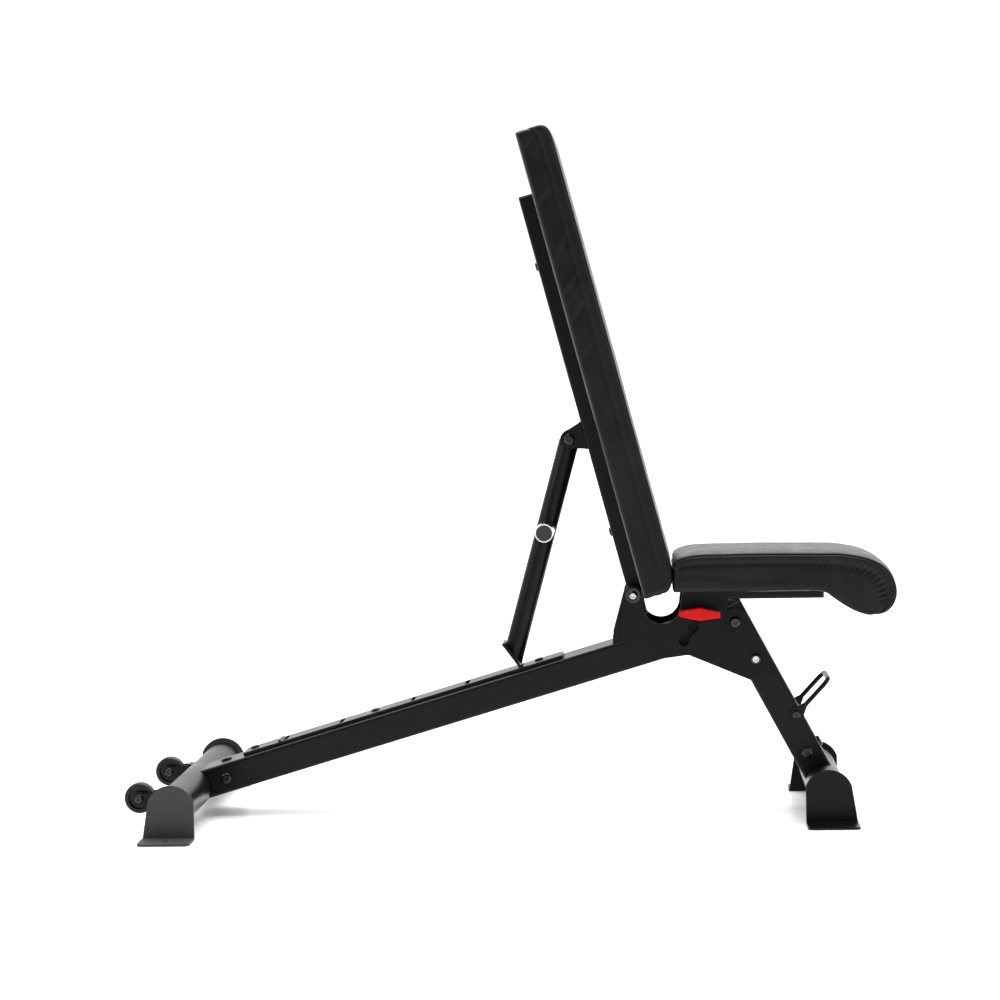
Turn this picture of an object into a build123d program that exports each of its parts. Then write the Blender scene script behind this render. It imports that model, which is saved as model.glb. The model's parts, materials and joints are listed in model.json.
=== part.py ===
from build123d import *
import os
from math import cos, radians, sin, sqrt

# Adjustable weight bench. Millimetres, +Z up, +X towards the seat end, floor at Z = 0.
# The bench is symmetric about the XZ plane, apart from the pull pin on the -Y side.
# Right is the -Y side and left is the +Y side, for somebody who faces the seat end.

# ---- Driving dimensions -------------------------------------------------------------

# Main pivot, which carries the backrest and the seat
AXLE_HEIGHT = 376.0
AXLE_D = 12.0
AXLE_HEAD = 0.68
RUNNING_GAP = 0.3

# Base rail and front post
RAIL_SLOPE = 16.5
RAIL_DROP = 96.0
JUNCTION = 152.0
POST_SLOPE = 62.0
POST_TOP = 27.0
RAIL_END = 78.0
BEAM_W = 100.0
BEAM_H = 50.0
BEAM_WALL = 2.5
BEAM_R = 5.0

# Cross tubes and their foot plates
STAB_D = 63.5
STAB_WALL = 2.5
STAB_HEIGHT = 50.0
REAR_HALF = 267.0
FRONT_HALF = 165.0
FOOT_T = 4.0
FOOT_ARCH_R = 40.5
FOOT_SIDE = 38.0
FOOT_SPLAY = 10.0
FLANGE = 54.0
FLANGE_CORNER = 9.0
ANCHOR_D = 8.0

# Spigots welded to the cross tubes, inside the beams
STUB_GAP = 0.25
STUB_WALL = 3.0
STUB_LENGTH = 105.0
STUB_BOLT_AT = 60.0

# Side gussets, pivot ears and seat plates
GUSSET_T = 4.0
EAR_T = 4.0
EAR_EDGE = 4.0
SEAT_PLATE_GAP = 8.0
SEAT_PLATE_T = 5.0
LOBE_R = 15.5
PIN_RADIUS = 116.0
PIN_ANGLES = (-15.3, -28.8, -42.3)
PIN_HOLE_D = 18.0
PIN_D = 9.0
PIN_SLOT = 10.0

# Ladder plate on the rail
LADDER_W = 66.0
LADDER_T = 6.0
LADDER_FROM = -727.0
LADDER_TO = -147.0
SLOT_AT = (-223.0, -320.0, -419.0, -549.0, -651.0)
SLOT_L = 8.0
SLOT_W = 50.0
TAB_AT = -662.0
TAB_H = 2.5
TAB_T = 5.0
LADDER_BOLTS = (-709.0, -488.0, -190.0)

# Backrest
BACK_ANGLE = 104.6
BACK_LENGTH = 803.0
BACK_TAIL = 3.0
BACK_BOARD = 22.0
BACK_FACE = 80.0
BACK_TOE = 70.0
BACK_TUBE_W = 50.0
BACK_TUBE_D = 30.0
BACK_TUBE_WALL = 2.0
BACK_TUBE_TOP = 700.0
BACK_BOLTS = (110.0, 582.0)
PAD_W = 250.0
BOARD_T = 12.0
BOARD_INSET = 14.0

# Strut with its clevis on the backrest
CLEVIS_U = 282.7
CLEVIS_BACK = 34.5
CLEVIS_R = 16.0
CLEVIS_GAP = 1.5
CLEVIS_T = 4.0
STRUT_ANGLE = 254.5
STRUT_LENGTH = 382.5
STRUT_D = 35.0
STRUT_WALL = 2.0
FOOT_ANGLE = 306.6
FOOT_UP = 26.5
FOOT_DOWN = 23.5
FOOT_W = 62.0
STRUT_FOOT_T = 5.0
BAR_AT = 160.0
BAR_D = 31.0
BAR_HALF = 110.0

# Seat
SEAT_REAR = 67.0
SEAT_TOP = 79.0
SEAT_UNDER = 9.0
SEAT_FLAT = 337.0
SEAT_ROLL = 352.0
SEAT_NOSE = 442.0
SEAT_NOSE_LOW = -35.0
SEAT_NOSE_MID = 12.0
SEAT_RAIL_FROM = 86.0
SEAT_RAIL_TO = 320.0
SEAT_RAIL_H = 18.0
SEAT_RAIL_WALL = 2.5
SEAT_SCREWS = (218.0, 290.0)
SEAT_SCREW_Y = 40.0

# Pull pin
PULL_TRAVEL = 12.0
BARREL_D = 18.0
BARREL_L = PULL_TRAVEL + 18.0
COLLAR_D = 22.0
GRIP_L = 69.0

# Carry handle
CARRY_AT = 188.0
CARRY_FORWARD = 15.0
CARRY_ANGLE = 47.2
CARRY_REACH = 85.0
CARRY_ROD = 8.0
LUG_T = 4.0
LUG_R = 13.0

# Transport wheels
WHEEL_D = 51.0
WHEEL_W = 20.0
WHEEL_BACK = 75.0
WHEEL_Y = 140.0
FORK_T = 3.0

# Screws
BOLT_D = 10.0
SCREW_D = 8.0

# ---- Places worked out from the driving dimensions ----------------------------------

RISE = sin(radians(RAIL_SLOPE))
RUN = cos(radians(RAIL_SLOPE))
FOOT_X = RAIL_DROP * RISE
FOOT_Z = AXLE_HEIGHT - RAIL_DROP * RUN
REAR_S = (STAB_HEIGHT - FOOT_Z) / RISE
REAR_X = FOOT_X + REAR_S * RUN
JUNCTION_X = FOOT_X + JUNCTION * RUN
JUNCTION_Z = FOOT_Z + JUNCTION * RISE
POST_LENGTH = (JUNCTION_Z - STAB_HEIGHT) / sin(radians(POST_SLOPE))
FRONT_X = JUNCTION_X + POST_LENGTH * cos(radians(POST_SLOPE))
REAR_REACH = -(REAR_X - WHEEL_BACK - WHEEL_D / 2)
AXLE_X = (REAR_REACH - SEAT_NOSE) / 2

EAR_Y = BEAM_W / 2 - EAR_EDGE - EAR_T
SEAT_PLATE_Y = BEAM_W / 2 + GUSSET_T + SEAT_PLATE_GAP
CLEVIS_Y = STRUT_D / 2 + CLEVIS_GAP

parts = {}


def side_plane(x, z, angle):
    """A plane in the bench's side view: local x along the angle, local y at 90 degrees to it."""
    a = radians(angle)
    return Plane(origin=(AXLE_X + x, 0, z), x_dir=(cos(a), 0, sin(a)), z_dir=(0, -1, 0))


SIDE = side_plane(0, AXLE_HEIGHT, 0)
RAIL = side_plane(FOOT_X, FOOT_Z, RAIL_SLOPE)
POST = side_plane(JUNCTION_X, JUNCTION_Z, -POST_SLOPE)
BACK = side_plane(0, AXLE_HEIGHT, BACK_ANGLE)
REAR = side_plane(REAR_X, STAB_HEIGHT, 0)
FRONT = side_plane(FRONT_X, STAB_HEIGHT, 0)


def side_point(plane, s, h):
    """Side-view coordinates (x from the main axle, z from the main axle) of a local point."""
    p = plane.from_local_coords((s, h, 0))
    return (p.X - AXLE_X, p.Z - AXLE_HEIGHT)


CLEVIS = side_point(BACK, CLEVIS_U, CLEVIS_BACK)
STRUT = side_plane(CLEVIS[0], AXLE_HEIGHT + CLEVIS[1], STRUT_ANGLE)


def slab(plane, sketch, y_low, y_high):
    """A plate with the sketch as its outline in the plane, from y_low to y_high."""
    solid = extrude(plane * sketch, amount=y_high - y_low)
    return Pos(0, y_high, 0) * solid


def disc(plane, s, h, radius, y_low, y_high):
    """A round bar across the bench, centred on a local point of the plane."""
    return slab(plane, Pos(s, h) * Circle(radius), y_low, y_high)


def ring(plane, s, h, outer, inner, y_low, y_high):
    """A tube across the bench, centred on a local point of the plane."""
    return slab(plane, Pos(s, h) * (Circle(outer) - Circle(inner)), y_low, y_high)


def beam(plane, s_from, s_to, height, width, wall, corner, offset=0.0):
    """A rectangular tube along the plane's local x."""
    start = plane.from_local_coords((s_from, offset, 0))
    section = Plane(origin=start, x_dir=(0, 1, 0), z_dir=plane.x_dir)
    outer = RectangleRounded(width, height, corner)
    inner = RectangleRounded(width - 2 * wall, height - 2 * wall, max(corner - wall, 0.5))
    return extrude(section * (outer - inner), amount=s_to - s_from)


def outline(points, radius=0.0):
    """A closed outline with all of its corners rounded alike."""
    sketch = make_face(Polyline(*points, close=True))
    if radius > 0:
        sketch = fillet(sketch.vertices(), radius)
    return sketch


def mirrored(solid):
    """The same piece on the other side of the bench."""
    return mirror(solid, about=Plane.XZ)


def group(solids):
    """Identical separate pieces that share one node."""
    return Compound(children=list(solids))


def single(shape):
    """The one solid of a shape that booleans may have wrapped in a compound."""
    return shape.solids()[0] if len(shape.solids()) == 1 else shape


def axis_frame(point, direction):
    """A plane at a point whose normal is the direction of a screw."""
    x_dir = (0, 1, 0) if abs(direction[1]) < 0.5 else (1, 0, 0)
    return Plane(origin=point, x_dir=x_dir, z_dir=direction)


def dome_bolt(point, inward, diameter, length, spread=0.95):
    """A button-head bolt: the underside of the head is at the point, the shank runs inward."""
    head_r = diameter * spread
    head_h = diameter * 0.5
    frame = axis_frame(point, inward)
    head = extrude(frame * Circle(head_r), amount=-head_h)
    top = head.faces().sort_by(Axis(point, inward))[0]
    head = fillet(top.edges(), head_h * 0.7)
    socket = extrude(frame.offset(-head_h) * RegularPolygon(diameter * 0.32, 6), amount=head_h * 0.6)
    shank = extrude(frame * Circle(diameter / 2), amount=length)
    return single(head - socket + shank)


def hex_nut(point, outward, diameter):
    """A hexagon nut whose seat is at the point, with the bolt's own thread diameter as bore."""
    frame = axis_frame(point, outward)
    body = extrude(frame * RegularPolygon(diameter * 0.85, 6), amount=diameter * 0.8)
    bore = extrude(frame * Circle(diameter / 2), amount=diameter * 0.8)
    return single(body - bore)


# ---- Cross tubes and foot plates ----------------------------------------------------

def cross_tube(plane, half):
    return ring(plane, 0, 0, STAB_D / 2, STAB_D / 2 - STAB_WALL, FOOT_T - half, half - FOOT_T)


def foot_plate(plane, half, splay_side):
    """D-shaped end plate on the -Y side, with its splayed edge towards splay_side."""
    base = -STAB_HEIGHT
    straight = splay_side * -FOOT_SIDE
    splayed = splay_side * (FOOT_SIDE + FOOT_SPLAY)
    shoulder = sqrt(FOOT_ARCH_R ** 2 - FOOT_SIDE ** 2)
    face = make_face([
        Polyline((straight, shoulder), (straight, base), (splayed, base), (-straight, shoulder)),
        ThreePointArc((-straight, shoulder), (0, FOOT_ARCH_R), (straight, shoulder)),
    ])
    plate = slab(plane, face, -half, FOOT_T - half)
    low = min(straight, splayed)
    high = max(straight, splayed)
    start = Plane(origin=(plane.origin.X, 0, 0))
    pad = Pos((low + high) / 2, -half - FLANGE / 2) * Rectangle(high - low, FLANGE)
    outer = pad.vertices().group_by(Axis.Y)[0]
    pad = fillet(outer, FLANGE_CORNER) - Pos((low + high) / 2, -half - FLANGE / 2) * Circle(ANCHOR_D / 2)
    return single(plate + extrude(start * pad, amount=FOOT_T))


parts["rear_stabiliser"] = cross_tube(REAR, REAR_HALF)
parts["front_stabiliser"] = cross_tube(FRONT, FRONT_HALF)
parts["foot_plate_rear_right"] = foot_plate(REAR, REAR_HALF, -1)
parts["foot_plate_rear_left"] = mirrored(foot_plate(REAR, REAR_HALF, 1))
parts["foot_plate_front_right"] = foot_plate(FRONT, FRONT_HALF, 1)
parts["foot_plate_front_left"] = mirrored(foot_plate(FRONT, FRONT_HALF, -1))

# ---- Base rail, front post and their spigots ----------------------------------------

rear_core = disc(REAR, 0, 0, STAB_D / 2, -REAR_HALF, REAR_HALF)
front_core = disc(FRONT, 0, 0, STAB_D / 2, -FRONT_HALF, FRONT_HALF)
rail = beam(RAIL, REAR_S, RAIL_END, BEAM_H, BEAM_W, BEAM_WALL, BEAM_R) - rear_core
post = beam(POST, -POST_TOP, POST_LENGTH, BEAM_H, BEAM_W, BEAM_WALL, BEAM_R) - front_core

stub_h = BEAM_H - 2 * BEAM_WALL - 2 * STUB_GAP
stub_w = BEAM_W - 2 * BEAM_WALL - 2 * STUB_GAP
rear_stub = beam(RAIL, REAR_S, REAR_S + STUB_LENGTH, stub_h, stub_w, STUB_WALL, 3.5) - rear_core
front_stub = beam(POST, POST_LENGTH - STUB_LENGTH, POST_LENGTH, stub_h, stub_w, STUB_WALL, 3.5)
front_stub = front_stub - front_core

rear_stub_bolt = (REAR_S + STUB_BOLT_AT, 0)
front_stub_bolt = (POST_LENGTH - STUB_BOLT_AT, 0)
cross_rear = disc(RAIL, *rear_stub_bolt, BOLT_D / 2, -BEAM_W, BEAM_W)
cross_front = disc(POST, *front_stub_bolt, BOLT_D / 2, -BEAM_W, BEAM_W)
rail = rail - cross_rear
rear_stub = rear_stub - cross_rear
front_stub = front_stub - cross_front
post = post - cross_front

stub_grip = BEAM_WALL + STUB_GAP + STUB_WALL + 4.0
stub_screws = []
for plane, at in ((RAIL, rear_stub_bolt[0]), (POST, front_stub_bolt[0])):
    head_at = plane.from_local_coords((at, BEAM_H / 2, 0))
    stub_screws.append(dome_bolt(head_at, tuple(-plane.y_dir), BOLT_D, stub_grip))
rail = rail - stub_screws[0]
rear_stub = rear_stub - stub_screws[0]
post = post - stub_screws[1]
front_stub = front_stub - stub_screws[1]

# ---- Gusset plates between the rail and the post ------------------------------------

POST_BOLTS = ((0.0, 0.0), (72.0, 0.0))
PIN_AT = (PIN_RADIUS * cos(radians(PIN_ANGLES[0])), PIN_RADIUS * sin(radians(PIN_ANGLES[0])))


def gusset_face():
    """Outline of a gusset: along the rail, round the pull pin, down the post and back."""
    rail_low = side_point(RAIL, 53.0, -BEAM_H / 2)
    rail_rear = side_point(RAIL, 5.0, -BEAM_H / 2 + 8.0)
    rail_up = side_point(RAIL, 5.0, BEAM_H / 2 - 6.0)
    rail_mid = side_point(RAIL, 70.0, BEAM_H / 2)
    post_rear = side_point(POST, 99.0, -BEAM_H / 2)
    post_low = side_point(POST, 112.0, BEAM_H / 2 - 1.0)
    post_high = side_point(POST, 0.0, BEAM_H / 2 - 1.0)
    pin_top = (PIN_AT[0], PIN_AT[1] + 19.0)
    pin_rear = (PIN_AT[0] - 20.0, PIN_AT[1] + 16.0)
    hull = outline([rail_rear, rail_low, post_rear, post_low, post_high, pin_top, pin_rear,
                    rail_mid, rail_up], 4.0)
    lobe = Pos(*side_point(POST, 0, 0)) * Circle(BEAM_H / 2 - 1.0)
    return hull + lobe


def gusset():
    """The gusset on the -Y side, drilled for the two post bolts and the pull pin."""
    outer = BEAM_W / 2 + GUSSET_T
    plate = slab(SIDE, gusset_face(), -outer, -BEAM_W / 2)
    for at in POST_BOLTS:
        plate = plate - disc(POST, *at, BOLT_D / 2, -outer, -BEAM_W / 2)
    return plate


right_gusset = gusset() - disc(SIDE, *PIN_AT, PIN_D / 2 + RUNNING_GAP, -BEAM_W, 0)
parts["gusset_right"] = single(right_gusset)
parts["gusset_left"] = single(mirrored(gusset()))
for at in POST_BOLTS:
    post = post - disc(POST, *at, BOLT_D / 2, -BEAM_W, BEAM_W)

# ---- Pivot ears on the rail ---------------------------------------------------------

EAR_REAR = (-58.0, BEAM_H / 2)
EAR_FRONT = (10.0, BEAM_H / 2)


def pivot_ear():
    """An upright ear on the -Y edge of the rail's top, with the main axle's hole."""
    rear = side_point(RAIL, *EAR_REAR)
    front = side_point(RAIL, *EAR_FRONT)
    heel = (rear[0], rear[1] + 14.0)
    lobe = Circle(LOBE_R)
    top_rear = (LOBE_R * cos(radians(167)), LOBE_R * sin(radians(167)))
    top_front = (LOBE_R * cos(radians(10)), LOBE_R * sin(radians(10)))
    body = outline([rear, heel, top_rear, top_front, front])
    face = body + lobe - Circle(AXLE_D / 2)
    return single(slab(SIDE, face, -EAR_Y - EAR_T, -EAR_Y))


parts["pivot_ear_right"] = pivot_ear()
parts["pivot_ear_left"] = mirrored(pivot_ear())

# ---- Ladder plate -------------------------------------------------------------------

def ladder_plate():
    """Flat plate along the rail, with the strut's slots across it and a stop tab."""
    deck = RAIL.from_local_coords((0, BEAM_H / 2, 0))
    top = Plane(origin=deck, x_dir=RAIL.x_dir, z_dir=RAIL.y_dir)
    length = LADDER_TO - LADDER_FROM
    middle = (LADDER_TO + LADDER_FROM) / 2
    face = Pos(middle, 0) * RectangleRounded(length, LADDER_W, 5.0)
    for at in SLOT_AT:
        face = face - Pos(at, 0) * RectangleRounded(SLOT_L, SLOT_W, 2.0)
    for at in LADDER_BOLTS:
        face = face - Pos(at, 0) * Circle(SCREW_D / 2)
    plate = extrude(top * face, amount=LADDER_T)
    foot = BEAM_H / 2 + LADDER_T
    tab = outline([(TAB_AT, foot - 1.0), (TAB_AT + TAB_T, foot - 1.0),
                   (TAB_AT + TAB_T - 1.5, foot + TAB_H), (TAB_AT - 1.5, foot + TAB_H)])
    return single(plate + slab(RAIL, tab, -SLOT_W / 2, SLOT_W / 2))


parts["ladder_plate"] = ladder_plate()
ladder_screws = []
inward = -RAIL.y_dir
for at in LADDER_BOLTS:
    seat_point = RAIL.from_local_coords((at, BEAM_H / 2 + LADDER_T, 0))
    ladder_screws.append(dome_bolt(seat_point, tuple(inward), SCREW_D, LADDER_T + 9.0))
    rail = rail - extrude(axis_frame(seat_point, tuple(inward)) * Circle(SCREW_D / 2),
                          amount=LADDER_T + 9.0)
parts["ladder_bolts"] = group(ladder_screws)

# ---- Main axle with its spacers, washers and nut ------------------------------------

plate_outer = SEAT_PLATE_Y + SEAT_PLATE_T
washer_t = 2.0
axle_end = plate_outer + 2 * RUNNING_GAP + washer_t
axle = dome_bolt((AXLE_X, -axle_end, AXLE_HEIGHT), (0, 1, 0), AXLE_D, 2 * axle_end + 11.0,
                 AXLE_HEAD)
parts["main_axle"] = axle
parts["axle_nut"] = hex_nut((AXLE_X, axle_end, AXLE_HEIGHT), (0, 1, 0), AXLE_D)
washer = ring(SIDE, 0, 0, 13.0, AXLE_D / 2, -axle_end, -axle_end + washer_t)
parts["axle_washers"] = group([washer, mirrored(washer)])
spacer = ring(SIDE, 0, 0, 10.0, AXLE_D / 2, -SEAT_PLATE_Y + RUNNING_GAP, -EAR_Y - EAR_T)
parts["axle_spacers"] = group([spacer, mirrored(spacer)])

# ---- Bolts and nuts of the frame ----------------------------------------------------

frame_bolts = []
frame_nuts = []
gusset_outer = BEAM_W / 2 + GUSSET_T
crossings = [(POST, *POST_BOLTS[0], gusset_outer), (POST, *POST_BOLTS[1], gusset_outer),
             (RAIL, *rear_stub_bolt, BEAM_W / 2), (POST, *front_stub_bolt, BEAM_W / 2)]
for plane, s, h, half in crossings:
    spot = plane.from_local_coords((s, h, 0))
    frame_bolts.append(dome_bolt((spot.X, -half, spot.Z), (0, 1, 0), BOLT_D, 2 * half + 9.0))
    frame_nuts.append(hex_nut((spot.X, half, spot.Z), (0, 1, 0), BOLT_D))
parts["frame_bolts"] = group(frame_bolts + stub_screws)
parts["frame_nuts"] = group(frame_nuts)

# ---- Pull pin and its barrel --------------------------------------------------------

barrel_in = -BEAM_W / 2 + BARREL_L
barrel = ring(SIDE, *PIN_AT, BARREL_D / 2, PIN_D / 2 + 3.0, -BEAM_W / 2, barrel_in)
neck = ring(SIDE, *PIN_AT, BARREL_D / 2, PIN_D / 2 + RUNNING_GAP, -BEAM_W / 2, -BEAM_W / 2 + 3.0)
parts["pin_barrel"] = single(barrel + neck)

spring_from = -BEAM_W / 2 + 3.8
spring_to = barrel_in - 3.5
spring_plane = Plane(origin=(AXLE_X + PIN_AT[0], spring_from, AXLE_HEIGHT + PIN_AT[1]),
                     x_dir=(1, 0, 0), z_dir=(0, 1, 0))
spring_r = PIN_D / 2 + 1.6
wire = 0.6
path = spring_plane * Helix(pitch=3.6, height=spring_to - spring_from, radius=spring_r)
start = path @ 0
parts["pin_spring"] = single(sweep(Plane(origin=start, z_dir=path % 0) * Circle(wire), path=path))

collar_y = -plate_outer - 2 * RUNNING_GAP
grip_y = collar_y - 16.0
shaft = disc(SIDE, *PIN_AT, PIN_D / 2, grip_y - 9.0, barrel_in + 2.0)
end_stop = disc(SIDE, *PIN_AT, PIN_D / 2 + 2.2, barrel_in - 2.9, barrel_in - 0.9)
parts["pin_shaft"] = single(shaft + end_stop)


def grip():
    """The T handle: a long hexagonal bar, thickest in the middle, round the shaft's end."""
    end = GRIP_L / 2
    face = outline([(-end, -5.0), (0, -11.0), (end, -5.0), (end, 5.0), (0, 11.0), (-end, 5.0)], 1.5)
    tilt = side_plane(PIN_AT[0], AXLE_HEIGHT + PIN_AT[1], -2.5)
    bar = slab(tilt, face, grip_y - 15.0, grip_y - 1.0)
    bar = fillet(bar.edges().filter_by(Plane.XZ), 2.0)
    hub = disc(SIDE, *PIN_AT, COLLAR_D / 2, grip_y - 1.0, collar_y)
    return single(bar + hub - shaft)


parts["pin_handle"] = grip()

# ---- Seat plates, rail, board and pad -----------------------------------------------

def seat_plate_face():
    """Outline of a seat plate: a lobe on the axle, a deep bow under it and a U for the pad."""
    top = SEAT_RAIL_H / 2
    body = make_face([
        Polyline((-LOBE_R, 2), (-22.0, -58.0), (-21.5, -76.0)),
        ThreePointArc((-21.5, -76.0), (-7.5, -98.0), (28.0, -111.0)),
        Line((28.0, -111.0), (91.0, -103.0)),
        ThreePointArc((91.0, -103.0), (136.5, -74.0), (160.5, -9.0)),
        Polyline((160.5, -9.0), (160.5, top - 4.0), (156.5, top), (SEAT_RAIL_FROM, top),
                 (80.0, -16.0)),
        ThreePointArc((80.0, -16.0), (39.0, -48.0), (16.5, -18.0)),
        Polyline((16.5, -18.0), (LOBE_R, 0)),
        ThreePointArc((LOBE_R, 0), (0, LOBE_R), (-LOBE_R, 2)),
    ])
    return body


def arc_slot():
    """Three round holes on one radius about the axle, joined by a narrow arc slot."""
    first = radians(PIN_ANGLES[0])
    last = radians(PIN_ANGLES[-1])
    middle = (first + last) / 2
    inner = PIN_RADIUS - PIN_SLOT / 2
    outer = PIN_RADIUS + PIN_SLOT / 2
    band = make_face([
        ThreePointArc((inner * cos(first), inner * sin(first)),
                      (inner * cos(middle), inner * sin(middle)),
                      (inner * cos(last), inner * sin(last))),
        Line((inner * cos(last), inner * sin(last)), (outer * cos(last), outer * sin(last))),
        ThreePointArc((outer * cos(last), outer * sin(last)),
                      (outer * cos(middle), outer * sin(middle)),
                      (outer * cos(first), outer * sin(first))),
        Line((outer * cos(first), outer * sin(first)), (inner * cos(first), inner * sin(first))),
    ])
    for angle in PIN_ANGLES:
        a = radians(angle)
        band = band + Pos(PIN_RADIUS * cos(a), PIN_RADIUS * sin(a)) * Circle(PIN_HOLE_D / 2)
    return band


def seat_plate():
    face = seat_plate_face() - arc_slot() - Circle(AXLE_D / 2 + RUNNING_GAP)
    return single(slab(SIDE, face, -plate_outer, -SEAT_PLATE_Y))


parts["seat_plate_right"] = seat_plate()
parts["seat_plate_left"] = mirrored(seat_plate())
seat_rail = beam(SIDE, SEAT_RAIL_FROM, SEAT_RAIL_TO, SEAT_RAIL_H, 2 * SEAT_PLATE_Y,
                 SEAT_RAIL_WALL, 4.0)

seat_board_from = SEAT_REAR + 22.0
seat_board_to = SEAT_FLAT - 8.0
board_half = PAD_W / 2 - BOARD_INSET
board_face = outline([(seat_board_from, SEAT_UNDER), (seat_board_to, SEAT_UNDER),
                      (seat_board_to, SEAT_UNDER + BOARD_T),
                      (seat_board_from, SEAT_UNDER + BOARD_T)])
seat_board = slab(SIDE, board_face, -board_half, board_half)


def seat_pad():
    """The cushion with its rolled nose, with the board let into its underside."""
    nose = (SEAT_NOSE, SEAT_NOSE_MID)
    nose_low = (SEAT_NOSE - 36.0, SEAT_NOSE_LOW)
    face = make_face([
        Polyline((SEAT_REAR, SEAT_UNDER + 8.0), (SEAT_REAR, SEAT_TOP - 22.0)),
        ThreePointArc((SEAT_REAR, SEAT_TOP - 22.0), (SEAT_REAR + 6.5, SEAT_TOP - 6.5),
                      (SEAT_REAR + 22.0, SEAT_TOP)),
        Line((SEAT_REAR + 22.0, SEAT_TOP), (SEAT_ROLL, SEAT_TOP)),
        ThreePointArc((SEAT_ROLL, SEAT_TOP), (SEAT_NOSE - 24.0, SEAT_TOP - 23.0), nose),
        ThreePointArc(nose, (SEAT_NOSE - 11.0, SEAT_NOSE_LOW + 13.0), nose_low),
        ThreePointArc(nose_low, (SEAT_NOSE - 70.0, SEAT_NOSE_LOW + 9.0), (SEAT_FLAT, SEAT_UNDER)),
        Line((SEAT_FLAT, SEAT_UNDER), (SEAT_REAR + 8.0, SEAT_UNDER)),
        Line((SEAT_REAR + 8.0, SEAT_UNDER), (SEAT_REAR, SEAT_UNDER + 8.0)),
    ])
    cushion = slab(SIDE, face, -PAD_W / 2, PAD_W / 2)
    return single(cushion - seat_board)


def wood_screws(plane, places, diameter, length):
    """Screws into a board, with their heads on the near side of the plane's local y."""
    return [dome_bolt(plane.from_local_coords((s, h, y)), tuple(plane.y_dir), diameter, length)
            for s, h, y in places]


parts["seat_pad"] = seat_pad()
screw_len = SEAT_RAIL_WALL + BOARD_T - 2.0
screw_at = SEAT_RAIL_H / 2 - SEAT_RAIL_WALL
screw_spots = [(s, screw_at, y) for s in SEAT_SCREWS for y in (-SEAT_SCREW_Y, SEAT_SCREW_Y)]
seat_screws = wood_screws(SIDE, screw_spots, SCREW_D, screw_len)
for screw in seat_screws:
    seat_rail = seat_rail - screw
    seat_board = seat_board - screw
for s, h, y in screw_spots:
    below = axis_frame(SIDE.from_local_coords((s, -SEAT_RAIL_H / 2, y)), tuple(SIDE.y_dir))
    seat_rail = seat_rail - extrude(below * Circle(SCREW_D), amount=SEAT_RAIL_WALL)
parts["seat_screws"] = group(seat_screws)
parts["seat_rail"] = single(seat_rail)
parts["seat_board"] = single(seat_board)


def end_plug(origin, outward, width, height, corner, wall):
    """A plastic plug: a cap on the tube's end and a shorter body inside the tube."""
    frame = Plane(origin=origin, x_dir=(0, 1, 0), z_dir=outward)
    cap = extrude(frame * RectangleRounded(width, height, corner), amount=3.0)
    inside = RectangleRounded(width - 2 * wall, height - 2 * wall, max(corner - wall, 0.5))
    body = extrude(frame * inside, amount=-14.0)
    return single(cap + body)


seat_end = SIDE.from_local_coords((SEAT_RAIL_TO, 0, 0))
parts["seat_rail_plug"] = end_plug(seat_end, (1, 0, 0), 2 * SEAT_PLATE_Y, SEAT_RAIL_H, 4.0,
                                   SEAT_RAIL_WALL)
post_end = POST.from_local_coords((-POST_TOP, 0, 0))
parts["post_plug"] = end_plug(post_end, tuple(-POST.x_dir), BEAM_W, BEAM_H, BEAM_R, BEAM_WALL)

# ---- Backrest -----------------------------------------------------------------------

tube_mid = BACK_TUBE_D / 2 - BACK_BOARD
tube_rear = BACK_TUBE_D - BACK_BOARD
bush_r = 11.0
bush_half = EAR_Y - RUNNING_GAP
bush = ring(BACK, 0, 0, bush_r, AXLE_D / 2 + RUNNING_GAP, -bush_half, bush_half)
back_tube = beam(BACK, 0, BACK_TUBE_TOP, BACK_TUBE_D, BACK_TUBE_W, BACK_TUBE_WALL, 3.5, tube_mid)
back_tube = back_tube - disc(BACK, 0, 0, bush_r, -bush_half, bush_half)
parts["backrest_bush"] = single(bush)

board_low = BOARD_INSET - BACK_TAIL
board_high = BACK_LENGTH - BOARD_INSET
back_board_face = outline([(board_low, -BACK_BOARD), (board_high, -BACK_BOARD),
                           (board_high, -BACK_BOARD - BOARD_T), (board_low, -BACK_BOARD - BOARD_T)])
back_board = slab(BACK, back_board_face, -board_half, board_half)


def backrest_pad():
    """The long cushion, with the board let into its back."""
    rear = -BACK_BOARD
    front = -BACK_FACE
    face = make_face([
        Line((-BACK_TAIL, rear - 4.0), (4.0 - BACK_TAIL, rear)),
        Line((4.0 - BACK_TAIL, rear), (BACK_LENGTH - 6.0, rear)),
        Line((BACK_LENGTH - 6.0, rear), (BACK_LENGTH, rear - 6.0)),
        Line((BACK_LENGTH, rear - 6.0), (BACK_LENGTH, front + 24.0)),
        ThreePointArc((BACK_LENGTH, front + 24.0), (BACK_LENGTH - 7.0, front + 7.0),
                      (BACK_LENGTH - 24.0, front)),
        Line((BACK_LENGTH - 24.0, front), (BACK_TOE, front)),
        ThreePointArc((BACK_TOE, front), (BACK_TOE * 0.43, front + 6.5), (0, front + 18.0)),
        ThreePointArc((0, front + 18.0), (-BACK_TAIL * 0.8, front + 22.0), (-BACK_TAIL, front + 28.0)),
        Line((-BACK_TAIL, front + 28.0), (-BACK_TAIL, rear - 4.0)),
    ])
    return single(slab(BACK, face, -PAD_W / 2, PAD_W / 2) - back_board)


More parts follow.
